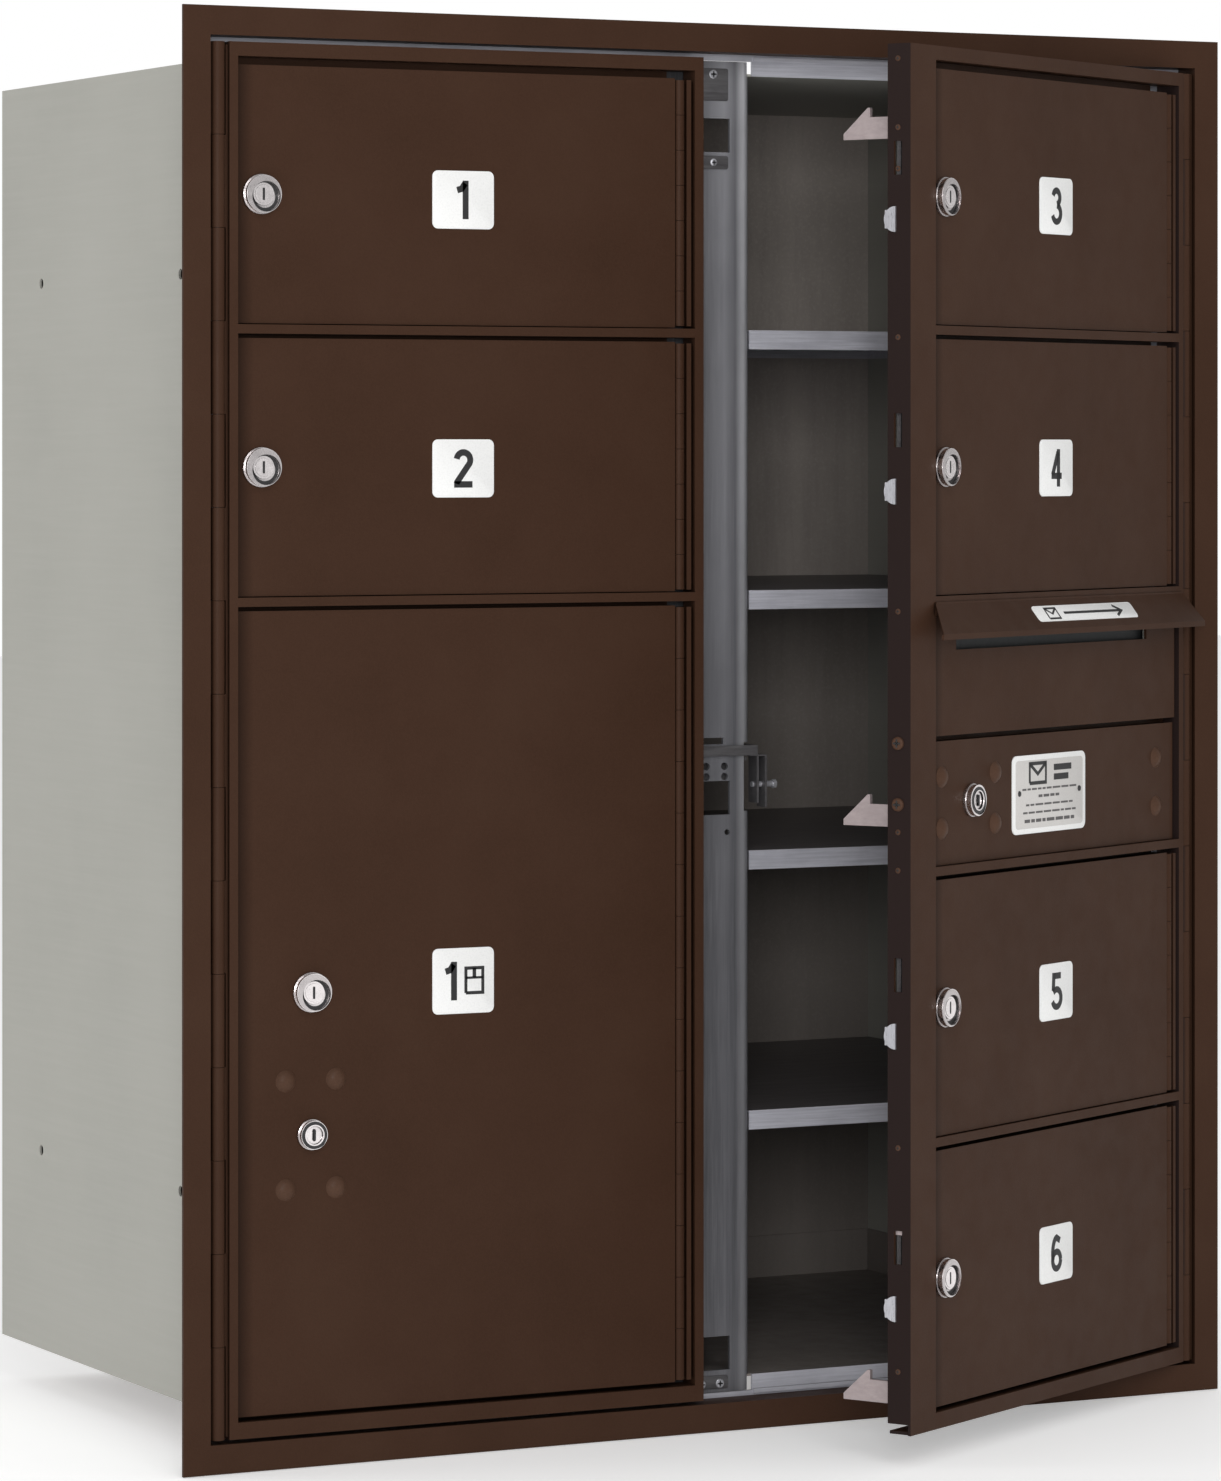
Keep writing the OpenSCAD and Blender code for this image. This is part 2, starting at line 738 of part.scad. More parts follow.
// Long bar in the free stile, with an arm that the master lock's crank pin raises.
module latch_bar() {
    arm = master_lock.y - crank;
    step = door_back + 6.6;
    color(dull_metal) on_right_door() {
        block([bar_x, bar_y, 4], [bar_x + bar_width, bar_y + 3, 880]);
        block([bar_x, bar_y, arm - 5.5], [38, bar_y + 3, arm + 5.5]);
        block([36, bar_y, arm - 5.5], [38, step, arm + 5.5]);
        difference() {
            block([36, step - 2, arm - 5.5], [master_lock.x + 3, step, arm + 5.5]);
            block([master_lock.x - 7.5, step - 3, arm - 1.9], [master_lock.x - 0.5, step + 1, arm + 1.9]);
        }
    }
}

// Three barbed hooks that enter the post's windows and rise behind its strike plates.
module latch_hooks() {
    root = bar_y + 3;
    outline = [[root, 0], [root, 14.5], [36.6, 14.5], [36.6, 20.7], [38.5, 20.7], [57, 4], [57, 0]];
    color(hook_colour) on_right_door() for (z = windows) translate([0, 0, z + 1.5]) {
        translate([hook_x, 0, 0]) rotate([90, 0, 90]) linear_extrude(hook_sheet) polygon(outline);
        block([hook_x, root, 0], [hook_x + 9, root + 2, 14.5]);
    }
}

// Blocks in the stile that the latch bar slides through.
module latch_guides() {
    left = right_door_x + door_wall;
    color(bare_metal) on_right_door() for (z = [120, 320, 560, 740]) difference() {
        block([left, door_front + door_wall, z], [left + 26, door_back - 0.4, z + 14]);
        block([bar_x - 0.3, bar_y - 0.3, z - 1], [bar_x + bar_width + 0.3, bar_y + 3.3, z + 15]);
    }
}

// Rounded keepers on the free stile's side, one below each compartment lock.
module lock_keepers() {
    edge = right_door_x;
    color(chrome_colour) on_right_door() for (line = [1, 3, 7, 9]) {
        z = line * unit_pitch - 17;
        difference() {
            translate([edge - 1.4, 9.6, z]) rotate([0, 90, 0]) cylinder(r = 8.4, h = 1.4);
            block([edge - 2, 0, z - 10], [edge + 1, 9.5, z + 10]);
        }
        block([edge - 1.4, door_back, z - 6], [edge + door_wall, door_back + 1.4, z + 6]);
    }
}

side_panel_left();
side_panel_right();
top_panel();
bottom_pan();
back_panel();
front_frame();
trim_top();
trim_bottom();
trim_left();
trim_right();
centre_post();
strike_plates();
centre_partition();
left_shelves();
right_shelves();
cabinet_hinge_leaves();
cabinet_hinge_pins();
release_lever();
lever_pin();
left_door_frame();
left_compartment_hinges();
left_door_striker();
door_1();
door_2();
parcel_door();
lock_1_body();
lock_1_plug();
lock_2_body();
lock_2_plug();
parcel_lock_body();
parcel_lock_plug();
carrier_lock_body();
carrier_lock_plug();
parcel_lock_bolts();
parcel_lock_plate();
right_door_frame();
right_compartment_hinges();
outgoing_panel();
outgoing_hood();
outgoing_flap();
lock_panel();
lock_panel_bolts();
master_lock_body();
master_lock_plug();
latch_bar();
latch_hooks();
latch_guides();
lock_keepers();
door_3();
door_4();
door_5();
door_6();
lock_3_body();
lock_3_plug();
lock_4_body();
lock_4_plug();
lock_5_body();
lock_5_plug();
lock_6_body();
lock_6_plug();
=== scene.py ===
import bpy
import bmesh
import json
import math
import random
from mathutils import Matrix, Vector


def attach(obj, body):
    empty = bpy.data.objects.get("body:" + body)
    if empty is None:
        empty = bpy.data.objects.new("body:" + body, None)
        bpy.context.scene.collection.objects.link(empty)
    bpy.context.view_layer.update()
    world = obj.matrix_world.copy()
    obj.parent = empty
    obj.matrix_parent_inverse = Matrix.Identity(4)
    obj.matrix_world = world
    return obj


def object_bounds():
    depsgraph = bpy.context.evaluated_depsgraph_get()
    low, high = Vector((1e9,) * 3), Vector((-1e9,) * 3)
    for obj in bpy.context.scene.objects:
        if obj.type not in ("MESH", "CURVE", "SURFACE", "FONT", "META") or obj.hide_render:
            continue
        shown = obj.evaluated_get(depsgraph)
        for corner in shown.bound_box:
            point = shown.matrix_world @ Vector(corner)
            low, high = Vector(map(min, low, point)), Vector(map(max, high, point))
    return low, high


MM = 0.001

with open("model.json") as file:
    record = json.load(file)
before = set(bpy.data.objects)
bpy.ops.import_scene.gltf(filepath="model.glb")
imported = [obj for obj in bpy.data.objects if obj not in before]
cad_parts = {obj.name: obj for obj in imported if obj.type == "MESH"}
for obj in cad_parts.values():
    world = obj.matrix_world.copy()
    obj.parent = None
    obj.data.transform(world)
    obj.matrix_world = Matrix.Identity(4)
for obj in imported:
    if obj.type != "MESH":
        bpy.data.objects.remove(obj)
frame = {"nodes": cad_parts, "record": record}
CAD_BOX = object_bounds()
nodes = frame["nodes"]

# Places are in millimetres in the shared frame, as if the right master door were shut.
# It stands open at rest by OPEN_ANGLE about the upright axis through AXIS_X, AXIS_Y.
OPEN_ANGLE = math.radians(29.4)
AXIS_X, AXIS_Y = 369.5, 2.5

# Compartments lie between lines one PITCH apart. A door pan starts PAN_RISE above its low line
# and ends PAN_DROP below its high line. LEFT_PAN and RIGHT_PAN are the pans' left edges.
PITCH = 88.9
PAN_RISE, PAN_DROP = 3.7, 5.9
LEFT_PAN, RIGHT_PAN = -355.7, 21.7
LEFT_DOORS = {"1": (8, 10), "2": (6, 8)}
RIGHT_DOORS = {"3": (8, 10), "4": (6, 8), "5": (2, 4), "6": (0, 2)}

# Y of the pans, of the fixed panels and of the centre post's bare face, and X of the free stile's side.
PAN_FACE, PANEL_FACE, POST_FACE = 0.5, 2.0, 19.3
STILE_SIDE = -12

# Printed plates. LABEL_X counts from a pan's left edge.
LABEL_X = 161.7
LABEL_WIDE, LABEL_HIGH, LABEL_THICK = 45, 38.5, 0.7
PARCEL_LABEL_HIGH, PARCEL_LABEL_Z = 43.5, 281
INK_THICK = 0.12
PLACARD_AT = (176, 400)
HOOD_DROP, HOOD_REACH = 22, 17
HOOD_LABEL_AT = (205, -10.25, 521.75)

# Locks and fasteners, as X and Z or as heights.
LEFT_LOCK_X, RIGHT_LOCK_X = LEFT_PAN + 16, RIGHT_PAN + 12.2
PARCEL_LOCK, CARRIER_LOCK, MASTER_LOCK = (-304, 278), (-304, 185), (72, 4.5 * PITCH)
STILE_SCREWS = (888, 843, 816, 706, 527, 383, 358, 177, 31)
STILE_BOLTS = (441, 401)

# The camera's place is in metres and its turn about the upright axis in degrees.
CAMERA_AT, CAMERA_TURN = (-1.8515, -3.4936, 0.6342), -26.826


# ---------------------------------------------------------------- materials

def material(name):
    """A new node material, its tree and its shader."""
    mat = bpy.data.materials.new(name)
    mat.use_nodes = True
    return mat, mat.node_tree, mat.node_tree.nodes["Principled BSDF"]


def add(tree, kind, **values):
    """A node of that kind with properties set by name."""
    node = tree.nodes.new(kind)
    for key, value in values.items():
        setattr(node, key, value)
    return node


def stretched(tree, scale):
    """Object coordinates scaled by axis."""
    coords = add(tree, "ShaderNodeTexCoord")
    mapping = add(tree, "ShaderNodeMapping")
    mapping.inputs["Scale"].default_value = scale
    tree.links.new(coords.outputs["Object"], mapping.inputs["Vector"])
    return mapping.outputs["Vector"]


def noise(tree, scale, detail=4.0, rough=0.55, stretch=(1, 1, 1)):
    """A noise pattern in object space. scale is in waves a metre."""
    node = add(tree, "ShaderNodeTexNoise")
    node.inputs["Scale"].default_value = scale
    node.inputs["Detail"].default_value = detail
    node.inputs["Roughness"].default_value = rough
    tree.links.new(stretched(tree, stretch), node.inputs["Vector"])
    return node.outputs["Fac"]


def ramp(tree, source, stops):
    """A colour ramp over source; stops are (place, colour)."""
    node = add(tree, "ShaderNodeValToRGB")
    elements = node.color_ramp.elements
    while len(elements) < len(stops):
        elements.new(0.5)
    for element, (place, colour) in zip(elements, stops):
        element.position = place
        element.color = (*colour, 1)
    tree.links.new(source, node.inputs["Fac"])
    return node.outputs["Color"]


def spread(tree, source, low, high, start=0.0, end=1.0):
    """source remapped from start..end to low..high."""
    node = add(tree, "ShaderNodeMapRange")
    node.inputs["From Min"].default_value = start
    node.inputs["From Max"].default_value = end
    node.inputs["To Min"].default_value = low
    node.inputs["To Max"].default_value = high
    tree.links.new(source, node.inputs["Value"])
    return node.outputs["Result"]


def mixed(tree, factor, first, second):
    """Two colours mixed by factor. A colour may be a socket or a tuple."""
    node = add(tree, "ShaderNodeMix", data_type="RGBA")
    for socket, value in ((node.inputs[0], factor), (node.inputs[6], first), (node.inputs[7], second)):
        if hasattr(value, "links"):
            tree.links.new(value, socket)
        elif isinstance(value, tuple):
            socket.default_value = (*value, 1)
        else:
            socket.default_value = value
    return node.outputs[2]


def bumped(tree, shader, source, strength, distance):
    """Adds a bump of that height, in metres, to the shader."""
    node = add(tree, "ShaderNodeBump")
    node.inputs["Strength"].default_value = strength
    node.inputs["Distance"].default_value = distance
    tree.links.new(source, node.inputs["Height"])
    if shader.inputs["Normal"].links:
        tree.links.new(shader.inputs["Normal"].links[0].from_socket, node.inputs["Normal"])
    tree.links.new(node.outputs["Normal"], shader.inputs["Normal"])


def facing(tree, direction, low, high):
    """1 where a face looks along direction, fading to 0 between the cosines high and low."""
    geometry = add(tree, "ShaderNodeNewGeometry")
    dot = add(tree, "ShaderNodeVectorMath", operation="DOT_PRODUCT")
    dot.inputs[1].default_value = direction
    tree.links.new(geometry.outputs["True Normal"], dot.inputs[0])
    return spread(tree, dot.outputs["Value"], 0.0, 1.0, low, high)


def sheltered(tree, distance):
    """1 in the open and 0 deep in a recess, over the given distance in metres."""
    node = add(tree, "ShaderNodeAmbientOcclusion")
    node.samples = 8
    node.inputs["Distance"].default_value = distance
    return node.outputs["AO"]


def distance_along(tree, direction, start):
    """Metres along direction from start, in object space."""
    dot = add(tree, "ShaderNodeVectorMath", operation="DOT_PRODUCT")
    dot.inputs[1].default_value = direction
    tree.links.new(stretched(tree, (1, 1, 1)), dot.inputs[0])
    minus = add(tree, "ShaderNodeMath", operation="SUBTRACT")
    minus.inputs[1].default_value = start
    tree.links.new(dot.outputs["Value"], minus.inputs[0])
    return minus.outputs["Value"]


def powder_coat(name, base, dark, light, roughness=0.42, shaded=None, edge_shade=None):
    """Satin powder coat with painted shade in creases and recesses. Faces toward shaded get painted shade;
    the last argument, if given, is a (direction, start) for a painted shade strip along an edge.
    """
    mat, tree, shader = material(name)
    mottle = noise(tree, 9, 5, 0.6)
    grain = noise(tree, 900, 3, 0.6)
    body = ramp(tree, mottle, [(0.3, dark), (0.5, base), (0.72, light)])
    sparkle = tuple(min(1, c * 1.5) for c in light)
    body = mixed(tree, spread(tree, grain, 0.0, 0.22, 0.35, 0.75), body, sparkle)
    # Painted shade: creases and recesses darken toward near black, by occlusion.
    crevice_shade = tuple(c * 0.2 for c in dark)
    body = mixed(tree, spread(tree, sheltered(tree, 0.006), 0.85, 0.0, 0.25, 0.6), body, crevice_shade)
    # Painted shade in a strip along one edge, fading out about 11 mm from it.
    if edge_shade:
        edge = spread(tree, distance_along(tree, *edge_shade), 0.75, 0.0, 0.001, 0.011)
        body = mixed(tree, edge, body, tuple(c * 0.35 for c in dark))
    # Painted shade on faces that look toward shaded.
    if shaded:
        body = mixed(tree, facing(tree, shaded, 0.6, 0.9), body, (0.02, 0.0125, 0.0115))
    tree.links.new(body, shader.inputs["Base Color"])
    shader.inputs["Specular IOR Level"].default_value = 0.06
    tree.links.new(spread(tree, noise(tree, 60, 4), roughness - 0.05, roughness + 0.07, 0.3, 0.7),
                   shader.inputs["Roughness"])
    bumped(tree, shader, grain, 0.16, 0.0004)
    return mat


def brushed_metal(name, dark, light, roughness, stretch, scratch=700, metallic=1.0, top=None):
    """Bare metal with fine lines along the axis that stretch shrinks. top, if given, paints upward faces that
    colour as painted shade.
    """
    mat, tree, shader = material(name)
    lines = noise(tree, scratch, 6, 0.7, stretch)
    cloud = noise(tree, 14, 5, 0.6)
    body = mixed(tree, spread(tree, lines, 0.0, 1.0, 0.3, 0.7), dark, light)
    stain = tuple(c * 0.72 for c in dark)
    body = mixed(tree, spread(tree, cloud, 0.5, 0.0, 0.3, 0.55), body, stain)
    if top:
        # Painted shade on upward faces.
        body = mixed(tree, facing(tree, (0, 0, 1), 0.7, 0.95), body, top)
    tree.links.new(body, shader.inputs["Base Color"])
    shader.inputs["Metallic"].default_value = metallic
    rough = spread(tree, lines, roughness - 0.08, roughness + 0.1, 0.3, 0.7)
    tree.links.new(rough, shader.inputs["Roughness"])
    bumped(tree, shader, lines, 0.12, 0.0003)
    return mat


def painted_sheet():
    """Pale grey sheet of the outer box: nearly flat, with a soft mottle and faint rolling lines."""
    mat, tree, shader = material("pale_sheet")
    mottle = noise(tree, 6, 6, 0.62)
    lines = noise(tree, 240, 4, 0.6, (1, 0.04, 1))
    stops = [(0.25, (0.345, 0.343, 0.31)), (0.5, (0.37, 0.366, 0.33)), (0.8, (0.39, 0.385, 0.35))]
    body = ramp(tree, mottle, stops)
    body = mixed(tree, spread(tree, lines, 0.0, 0.25, 0.4, 0.7), body, (0.42, 0.415, 0.38))
    tree.links.new(body, shader.inputs["Base Color"])
    shader.inputs["Metallic"].default_value = 0.15
    tree.links.new(spread(tree, mottle, 0.5, 0.62), shader.inputs["Roughness"])
    bumped(tree, shader, lines, 0.08, 0.0003)
    return mat


def inner_sheet():
    """Mill sheet inside the box: dull grey-brown with streaks and blotches, and painted shade that makes it
    darker low down.
    """
    mat, tree, shader = material("inner_sheet")
    streaks = noise(tree, 50, 6, 0.65, (1, 1, 0.1))
    cloud = noise(tree, 5, 6, 0.6)
    speck = noise(tree, 420, 3, 0.6)
    stops = [(0.25, (0.36, 0.32, 0.29)), (0.55, (0.47, 0.42, 0.385)), (0.8, (0.55, 0.49, 0.45))]
    body = ramp(tree, cloud, stops)
    body = mixed(tree, spread(tree, streaks, 0.0, 0.5, 0.45, 0.75), body, (0.27, 0.24, 0.22))
    body = mixed(tree, spread(tree, speck, 0.0, 0.4, 0.5, 0.75), body, (0.6, 0.54, 0.5))
    # Painted shade: darker low down.
    height = add(tree, "ShaderNodeSeparateXYZ")
    tree.links.new(stretched(tree, (1, 1, 1)), height.inputs["Vector"])
    body = mixed(tree, spread(tree, height.outputs["Z"], 0.72, 0.0, 0.15, 0.9), body, (0.12, 0.105, 0.095))
    tree.links.new(body, shader.inputs["Base Color"])
    shader.inputs["Metallic"].default_value = 0.15
    tree.links.new(spread(tree, streaks, 0.42, 0.62, 0.3, 0.7), shader.inputs["Roughness"])
    bumped(tree, shader, speck, 0.12, 0.0003)
    return mat


def post_metal():
    """Extruded post: soft vertical stripes of painted light that brighten towards the right, a painted
    highlight near the rounded corner, painted shade low down, and fine draw lines.
    """
    mat, tree, shader = material("post_metal")
    lines = noise(tree, 900, 5, 0.7, (1, 1, 0.02))
    cloud = noise(tree, 11, 5, 0.6, (1, 1, 0.5))
    split = add(tree, "ShaderNodeSeparateXYZ")
    tree.links.new(stretched(tree, (1, 1, 1)), split.inputs["Vector"])
    across = spread(tree, split.outputs["X"], 0.0, 1.0, -0.02, 0.033)
    # Painted light across the post: brighter towards the right, with a painted highlight near the rounded
    # corner.
    stops = [(0.0, (0.05, 0.05, 0.055)), (0.3, (0.18, 0.18, 0.195)), (0.6, (0.32, 0.32, 0.345))]
    stops += [(0.76, (0.16, 0.16, 0.175)), (0.88, (0.62, 0.62, 0.65)), (1.0, (0.25, 0.25, 0.27))]
    painted_light_bands = ramp(tree, across, stops)
    # Painted shade: darker low down.
    body = mixed(tree, spread(tree, split.outputs["Z"], 0.68, 0.0, 0.15, 0.9), painted_light_bands, (0.07, 0.07, 0.078))
    body = mixed(tree, spread(tree, lines, 0.0, 0.25, 0.35, 0.7), body, (0.3, 0.3, 0.32))
    body = mixed(tree, spread(tree, cloud, 0.3, 0.0, 0.3, 0.55), body, (0.07, 0.07, 0.075))
    tree.links.new(body, shader.inputs["Base Color"])
    shader.inputs["Metallic"].default_value = 0.35
    tree.links.new(spread(tree, lines, 0.3, 0.5, 0.3, 0.7), shader.inputs["Roughness"])
    bumped(tree, shader, lines, 0.1, 0.0003)
    return mat


def chrome_finish(name, tint=(0.72, 0.72, 0.74), roughness=0.16):
    """Plated lock metal with light handling scratches, and painted shade that turns it near black in
    recesses.
    """
    mat, tree, shader = material(name)
    scratches = noise(tree, 1600, 5, 0.7, (1, 1, 0.25))
    cloud = noise(tree, 120, 4, 0.6)
    shade = tuple(c * 0.7 for c in tint)
    body = mixed(tree, spread(tree, cloud, 0.0, 0.55, 0.45, 0.8), tint, shade)
    # Painted shade: near black in recesses, by occlusion.
    body = mixed(tree, spread(tree, sheltered(tree, 0.004), 0.9, 0.0, 0.35, 0.8), body, (0.03, 0.028, 0.028))
    tree.links.new(body, shader.inputs["Base Color"])
    shader.inputs["Metallic"].default_value = 1.0
    rough = spread(tree, scratches, roughness - 0.06, roughness + 0.14, 0.3, 0.7)
    tree.links.new(rough, shader.inputs["Roughness"])
    bumped(tree, shader, scratches, 0.08, 0.0002)
    return mat


def plastic(name, colour, roughness=0.45, grain=900, depth=0.0002):
    """Moulded or printed surface with a slight grain."""
    mat, tree, shader = material(name)
    pattern = noise(tree, grain, 3, 0.5)
    shade = tuple(c * 0.86 for c in colour)
    body = mixed(tree, spread(tree, pattern, 0.0, 0.6, 0.45, 0.75), colour, shade)
    tree.links.new(body, shader.inputs["Base Color"])
    tree.links.new(spread(tree, pattern, roughness - 0.05, roughness + 0.08), shader.inputs["Roughness"])
    bumped(tree, shader, pattern, 0.1, depth)
    return mat


# Every bronze coat below has painted shade in creases and recesses; some also have painted shade on side
# faces or along pan edges.
COAT = ((0.045, 0.0215, 0.0128), (0.04, 0.019, 0.011), (0.05, 0.025, 0.0152))
DOOR_ALONG = (math.cos(OPEN_ANGLE), math.sin(OPEN_ANGLE), 0)
# Where the right pans' painted edge shade starts, measured along the open door.
RIGHT_PAN_START = (AXIS_X * DOOR_ALONG[0] + AXIS_Y * DOOR_ALONG[1] - (AXIS_X - RIGHT_PAN)) * MM
BRONZE = powder_coat("bronze_paint", *COAT)
# Right door frame: painted shade on its side faces.
BRONZE_FRAME_SIDE_SHADE = powder_coat("bronze_frame_side_shade", *COAT, shaded=(-DOOR_ALONG[0], -DOOR_ALONG[1], 0))
# Door pans: painted shade along each pan's left edge.
BRONZE_LEFT_EDGE_SHADE = powder_coat("bronze_left_pans_edge_shade", *COAT, edge_shade=((1, 0, 0), LEFT_PAN * MM))
BRONZE_RIGHT_EDGE_SHADE = powder_coat("bronze_right_pans_edge_shade", *COAT, edge_shade=(DOOR_ALONG, RIGHT_PAN_START))
BOLT_COAT = ((0.07, 0.037, 0.024), (0.06, 0.031, 0.02), (0.085, 0.046, 0.03))
BRONZE_BOLT = powder_coat("bronze_bolt", *BOLT_COAT, 0.34)
PALE_SHEET = painted_sheet()
INNER_SHEET = inner_sheet()
POST_METAL = post_metal()
MILL_TONES = ((0.42, 0.42, 0.47), (0.62, 0.62, 0.68))
# The last colour is painted shade on the upward faces of the bare aluminium, such as the shelf tops.
MILL_LEVEL = brushed_metal("mill_level", *MILL_TONES, 0.4, (0.03, 1, 1), 700, 0.25, (0.11, 0.1, 0.1))
FITTING_TONES = ((0.4, 0.4, 0.43), (0.6, 0.6, 0.64))
FITTING_STEEL = brushed_metal("fitting_steel", *FITTING_TONES, 0.32, (1, 1, 0.2), 900, 0.6)
HOOK_PLATE = brushed_metal("hook_plate", (0.36, 0.3, 0.3), (0.46, 0.39, 0.39), 0.5, (1, 0.1, 1), 400, 0.4)
DARK_STEEL = brushed_metal("dark_steel", (0.1, 0.095, 0.1), (0.17, 0.165, 0.17), 0.42, (0.08, 1, 1), 500, 0.5)
CHROME = chrome_finish("lock_chrome", (0.92, 0.87, 0.87), 0.2)
# Near-black rings painted as shade in the lock recesses.
RECESS_SHADE = plastic("lock_recess_shade", (0.02, 0.019, 0.02), 0.4)
# A darker copy of the lock chrome, painted as shade in the crescent around each large lock.
SHADED_SHROUD = chrome_finish("lock_shroud_shade", (0.62, 0.58, 0.58), 0.26)
WHITE_LABEL = plastic("white_label", (0.84, 0.84, 0.83), 0.38)
BLACK_INK = plastic("black_ink", (0.012, 0.012, 0.013), 0.5)
GREY_INK = plastic("grey_ink", (0.09, 0.085, 0.085), 0.5)
PLACARD = plastic("placard_face", (0.6, 0.58, 0.56), 0.36)
RUBBER = plastic("black_rubber", (0.015, 0.017, 0.018), 0.6, 300, 0.0006)

FINISH = {
    "galvanised_box": PALE_SHEET,
    "bronze_paint": BRONZE,
    "bare_aluminium": MILL_LEVEL,
    "dull_sheet": INNER_SHEET,
    "plated_steel": HOOK_PLATE,
    "lock_chrome": CHROME,
    "black_rubber": RUBBER,
}
SPECIAL = {
    "centre_post": POST_METAL,
    "strike_plates": DARK_STEEL,
    "release_lever": DARK_STEEL,
    "latch_bar": DARK_STEEL,
    "cabinet_hinge_pins": DARK_STEEL,
    "lock_keepers": FITTING_STEEL,
    "lever_pin": FITTING_STEEL,
    **dict.fromkeys(("door_1", "door_2", "parcel_door"), BRONZE_LEFT_EDGE_SHADE),
    **dict.fromkeys(("door_3", "door_4", "door_5", "door_6"), BRONZE_RIGHT_EDGE_SHADE),
    **dict.fromkeys(("outgoing_panel", "lock_panel"), BRONZE_RIGHT_EDGE_SHADE),
    "right_door_frame": BRONZE_FRAME_SIDE_SHADE,
    "parcel_lock_bolts": BRONZE_BOLT,
    "lock_panel_bolts": BRONZE_BOLT,
}


def finish_frame():
    """Gives every CAD node its material and soft pressed edges."""
    slots = {part["node"]: part["material_slot"] for part in frame["record"]["subparts"]}
    pressed = ("door_", "parcel_door", "trim_", "left_door_frame", "right_door_frame", "outgoing_panel",
               "outgoing_hood", "lock_panel", "centre_post", "left_shelves", "right_shelves", "front_frame")
    for name, obj in nodes.items():
        chosen = SPECIAL.get(name, FINISH[slots[name]])
        obj.data.materials.clear()
        obj.data.materials.append(chosen)
        if name.startswith(pressed) and not name.endswith("bolts"):
            bevel = obj.modifiers.new("pressed_edge", "BEVEL")
            bevel.width = (1.3 if name.endswith("door_frame") else 0.6) * MM
            bevel.segments = 3
            bevel.limit_method = "ANGLE"
            bevel.angle_limit = math.radians(50)
            bevel.harden_normals = True


# ---------------------------------------------------------------- mesh helpers

def place(obj, body, slot):
    """Rides a piece on its body. The slot argument is not used."""
    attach(obj, body)
    return obj


def door_turn():
    """Takes a point of the closed right master door to where the door stands at rest."""
    axis = Vector((AXIS_X * MM, AXIS_Y * MM, 0))
    return Matrix.Translation(axis) @ Matrix.Rotation(OPEN_ANGLE, 4, "Z") @ Matrix.Translation(-axis)


def mesh_object(name, mesh_data, materials, matrix=None):
    """A new object from a bmesh, in metres, with smooth shading below 35 degrees."""
    mesh = bpy.data.meshes.new(name)
    bmesh.ops.recalc_face_normals(mesh_data, faces=mesh_data.faces)
    if matrix is not None:
        mesh_data.transform(matrix)
    mesh_data.to_mesh(mesh)
    mesh_data.free()
    for mat in materials:
        mesh.materials.append(mat)
    mesh.shade_smooth()
    mesh.set_sharp_from_angle(angle=math.radians(35))
    obj = bpy.data.objects.new(name, mesh)
    bpy.context.scene.collection.objects.link(obj)
    return obj


def rounded_outline(width, height, radius, steps=6):
    """Points of a rectangle with round corners, centred on zero, in millimetres."""
    points = []
    for sx, sy, start in ((1, 1, 0), (-1, 1, 90), (-1, -1, 180), (1, -1, 270)):
        for i in range(steps + 1):
            a = math.radians(start + 90 * i / steps)
            points.append((sx * (width / 2 - radius) + radius * math.cos(a),
                           sy * (height / 2 - radius) + radius * math.sin(a)))
    return points


def slab(outline, y_back, y_front, soft=0.3):
    """A bmesh plate in the XZ plane from an outline in millimetres, with a softened front edge."""
    bm = bmesh.new()
    rings = []
    steps = ((y_back, 0.0), (y_front + soft, 0.0), (y_front + soft * 0.3, soft * 0.3), (y_front, soft))
    for y, inset in steps:
        centre = Vector((sum(p[0] for p in outline), sum(p[1] for p in outline))) / len(outline)
        ring = []
        for x, z in outline:
            away = Vector((x, z)) - centre
            away = away * (1 - inset / max(away.length, 0.01))
            ring.append(bm.verts.new(((centre.x + away.x) * MM, y * MM, (centre.y + away.y) * MM)))
        rings.append(ring)
    for lower, upper in zip(rings, rings[1:]):
        for i in range(len(outline)):
            j = (i + 1) % len(outline)
            bm.faces.new((lower[i], lower[j], upper[j], upper[i]))
    bm.faces.new(rings[0])
    bm.faces.new(rings[-1])
    return bm


def circle(bm, radius, x, z, y, steps):
    """A ring of vertices in the XZ plane, in millimetres."""
    turns = [2 * math.pi * i / steps for i in range(steps)]
    corners = [(x + radius * math.cos(a), y, z + radius * math.sin(a)) for a in turns]
    return [bm.verts.new([value * MM for value in corner]) for corner in corners]


def lathe(profile, steps=40):
    """A bmesh turned about +Y from (radius, y) points in millimetres. Radius 0 closes an end."""
    bm = bmesh.new()
    rings = []
    for radius, y in profile:
        if radius == 0:
            rings.append([bm.verts.new((0, y * MM, 0))])
        else:
            rings.append(circle(bm, radius, 0, 0, y, steps))
    for lower, upper in zip(rings, rings[1:]):
        for i in range(steps):
            j = (i + 1) % steps
            if len(lower) == 1:
                bm.faces.new((lower[0], upper[i], upper[j]))
            elif len(upper) == 1:
                bm.faces.new((lower[i], lower[j], upper[0]))
            else:
                bm.faces.new((lower[i], lower[j], upper[j], upper[i]))
    return bm


def shift(x, y, z):
    """A translation in millimetres."""
    return Matrix.Translation((x * MM, y * MM, z * MM))


# ---------------------------------------------------------------- layout

def door_middle(low_line, high_line):
    """Height of a compartment door's centre."""
    return (low_line * PITCH + PAN_RISE + high_line * PITCH - PAN_DROP) / 2


TURN = door_turn()
STILL = Matrix.Identity(4)


# ---------------------------------------------------------------- printed marks

def arc(cx, cz, radius, start, end, steps=14, squash=1.0):
    """Points along an arc, angles in degrees from +X towards +Z."""
    return [(cx + radius * math.cos(math.radians(start + (end - start) * i / steps)),
             cz + radius * squash * math.sin(math.radians(start + (end - start) * i / steps)))
            for i in range(steps + 1)]


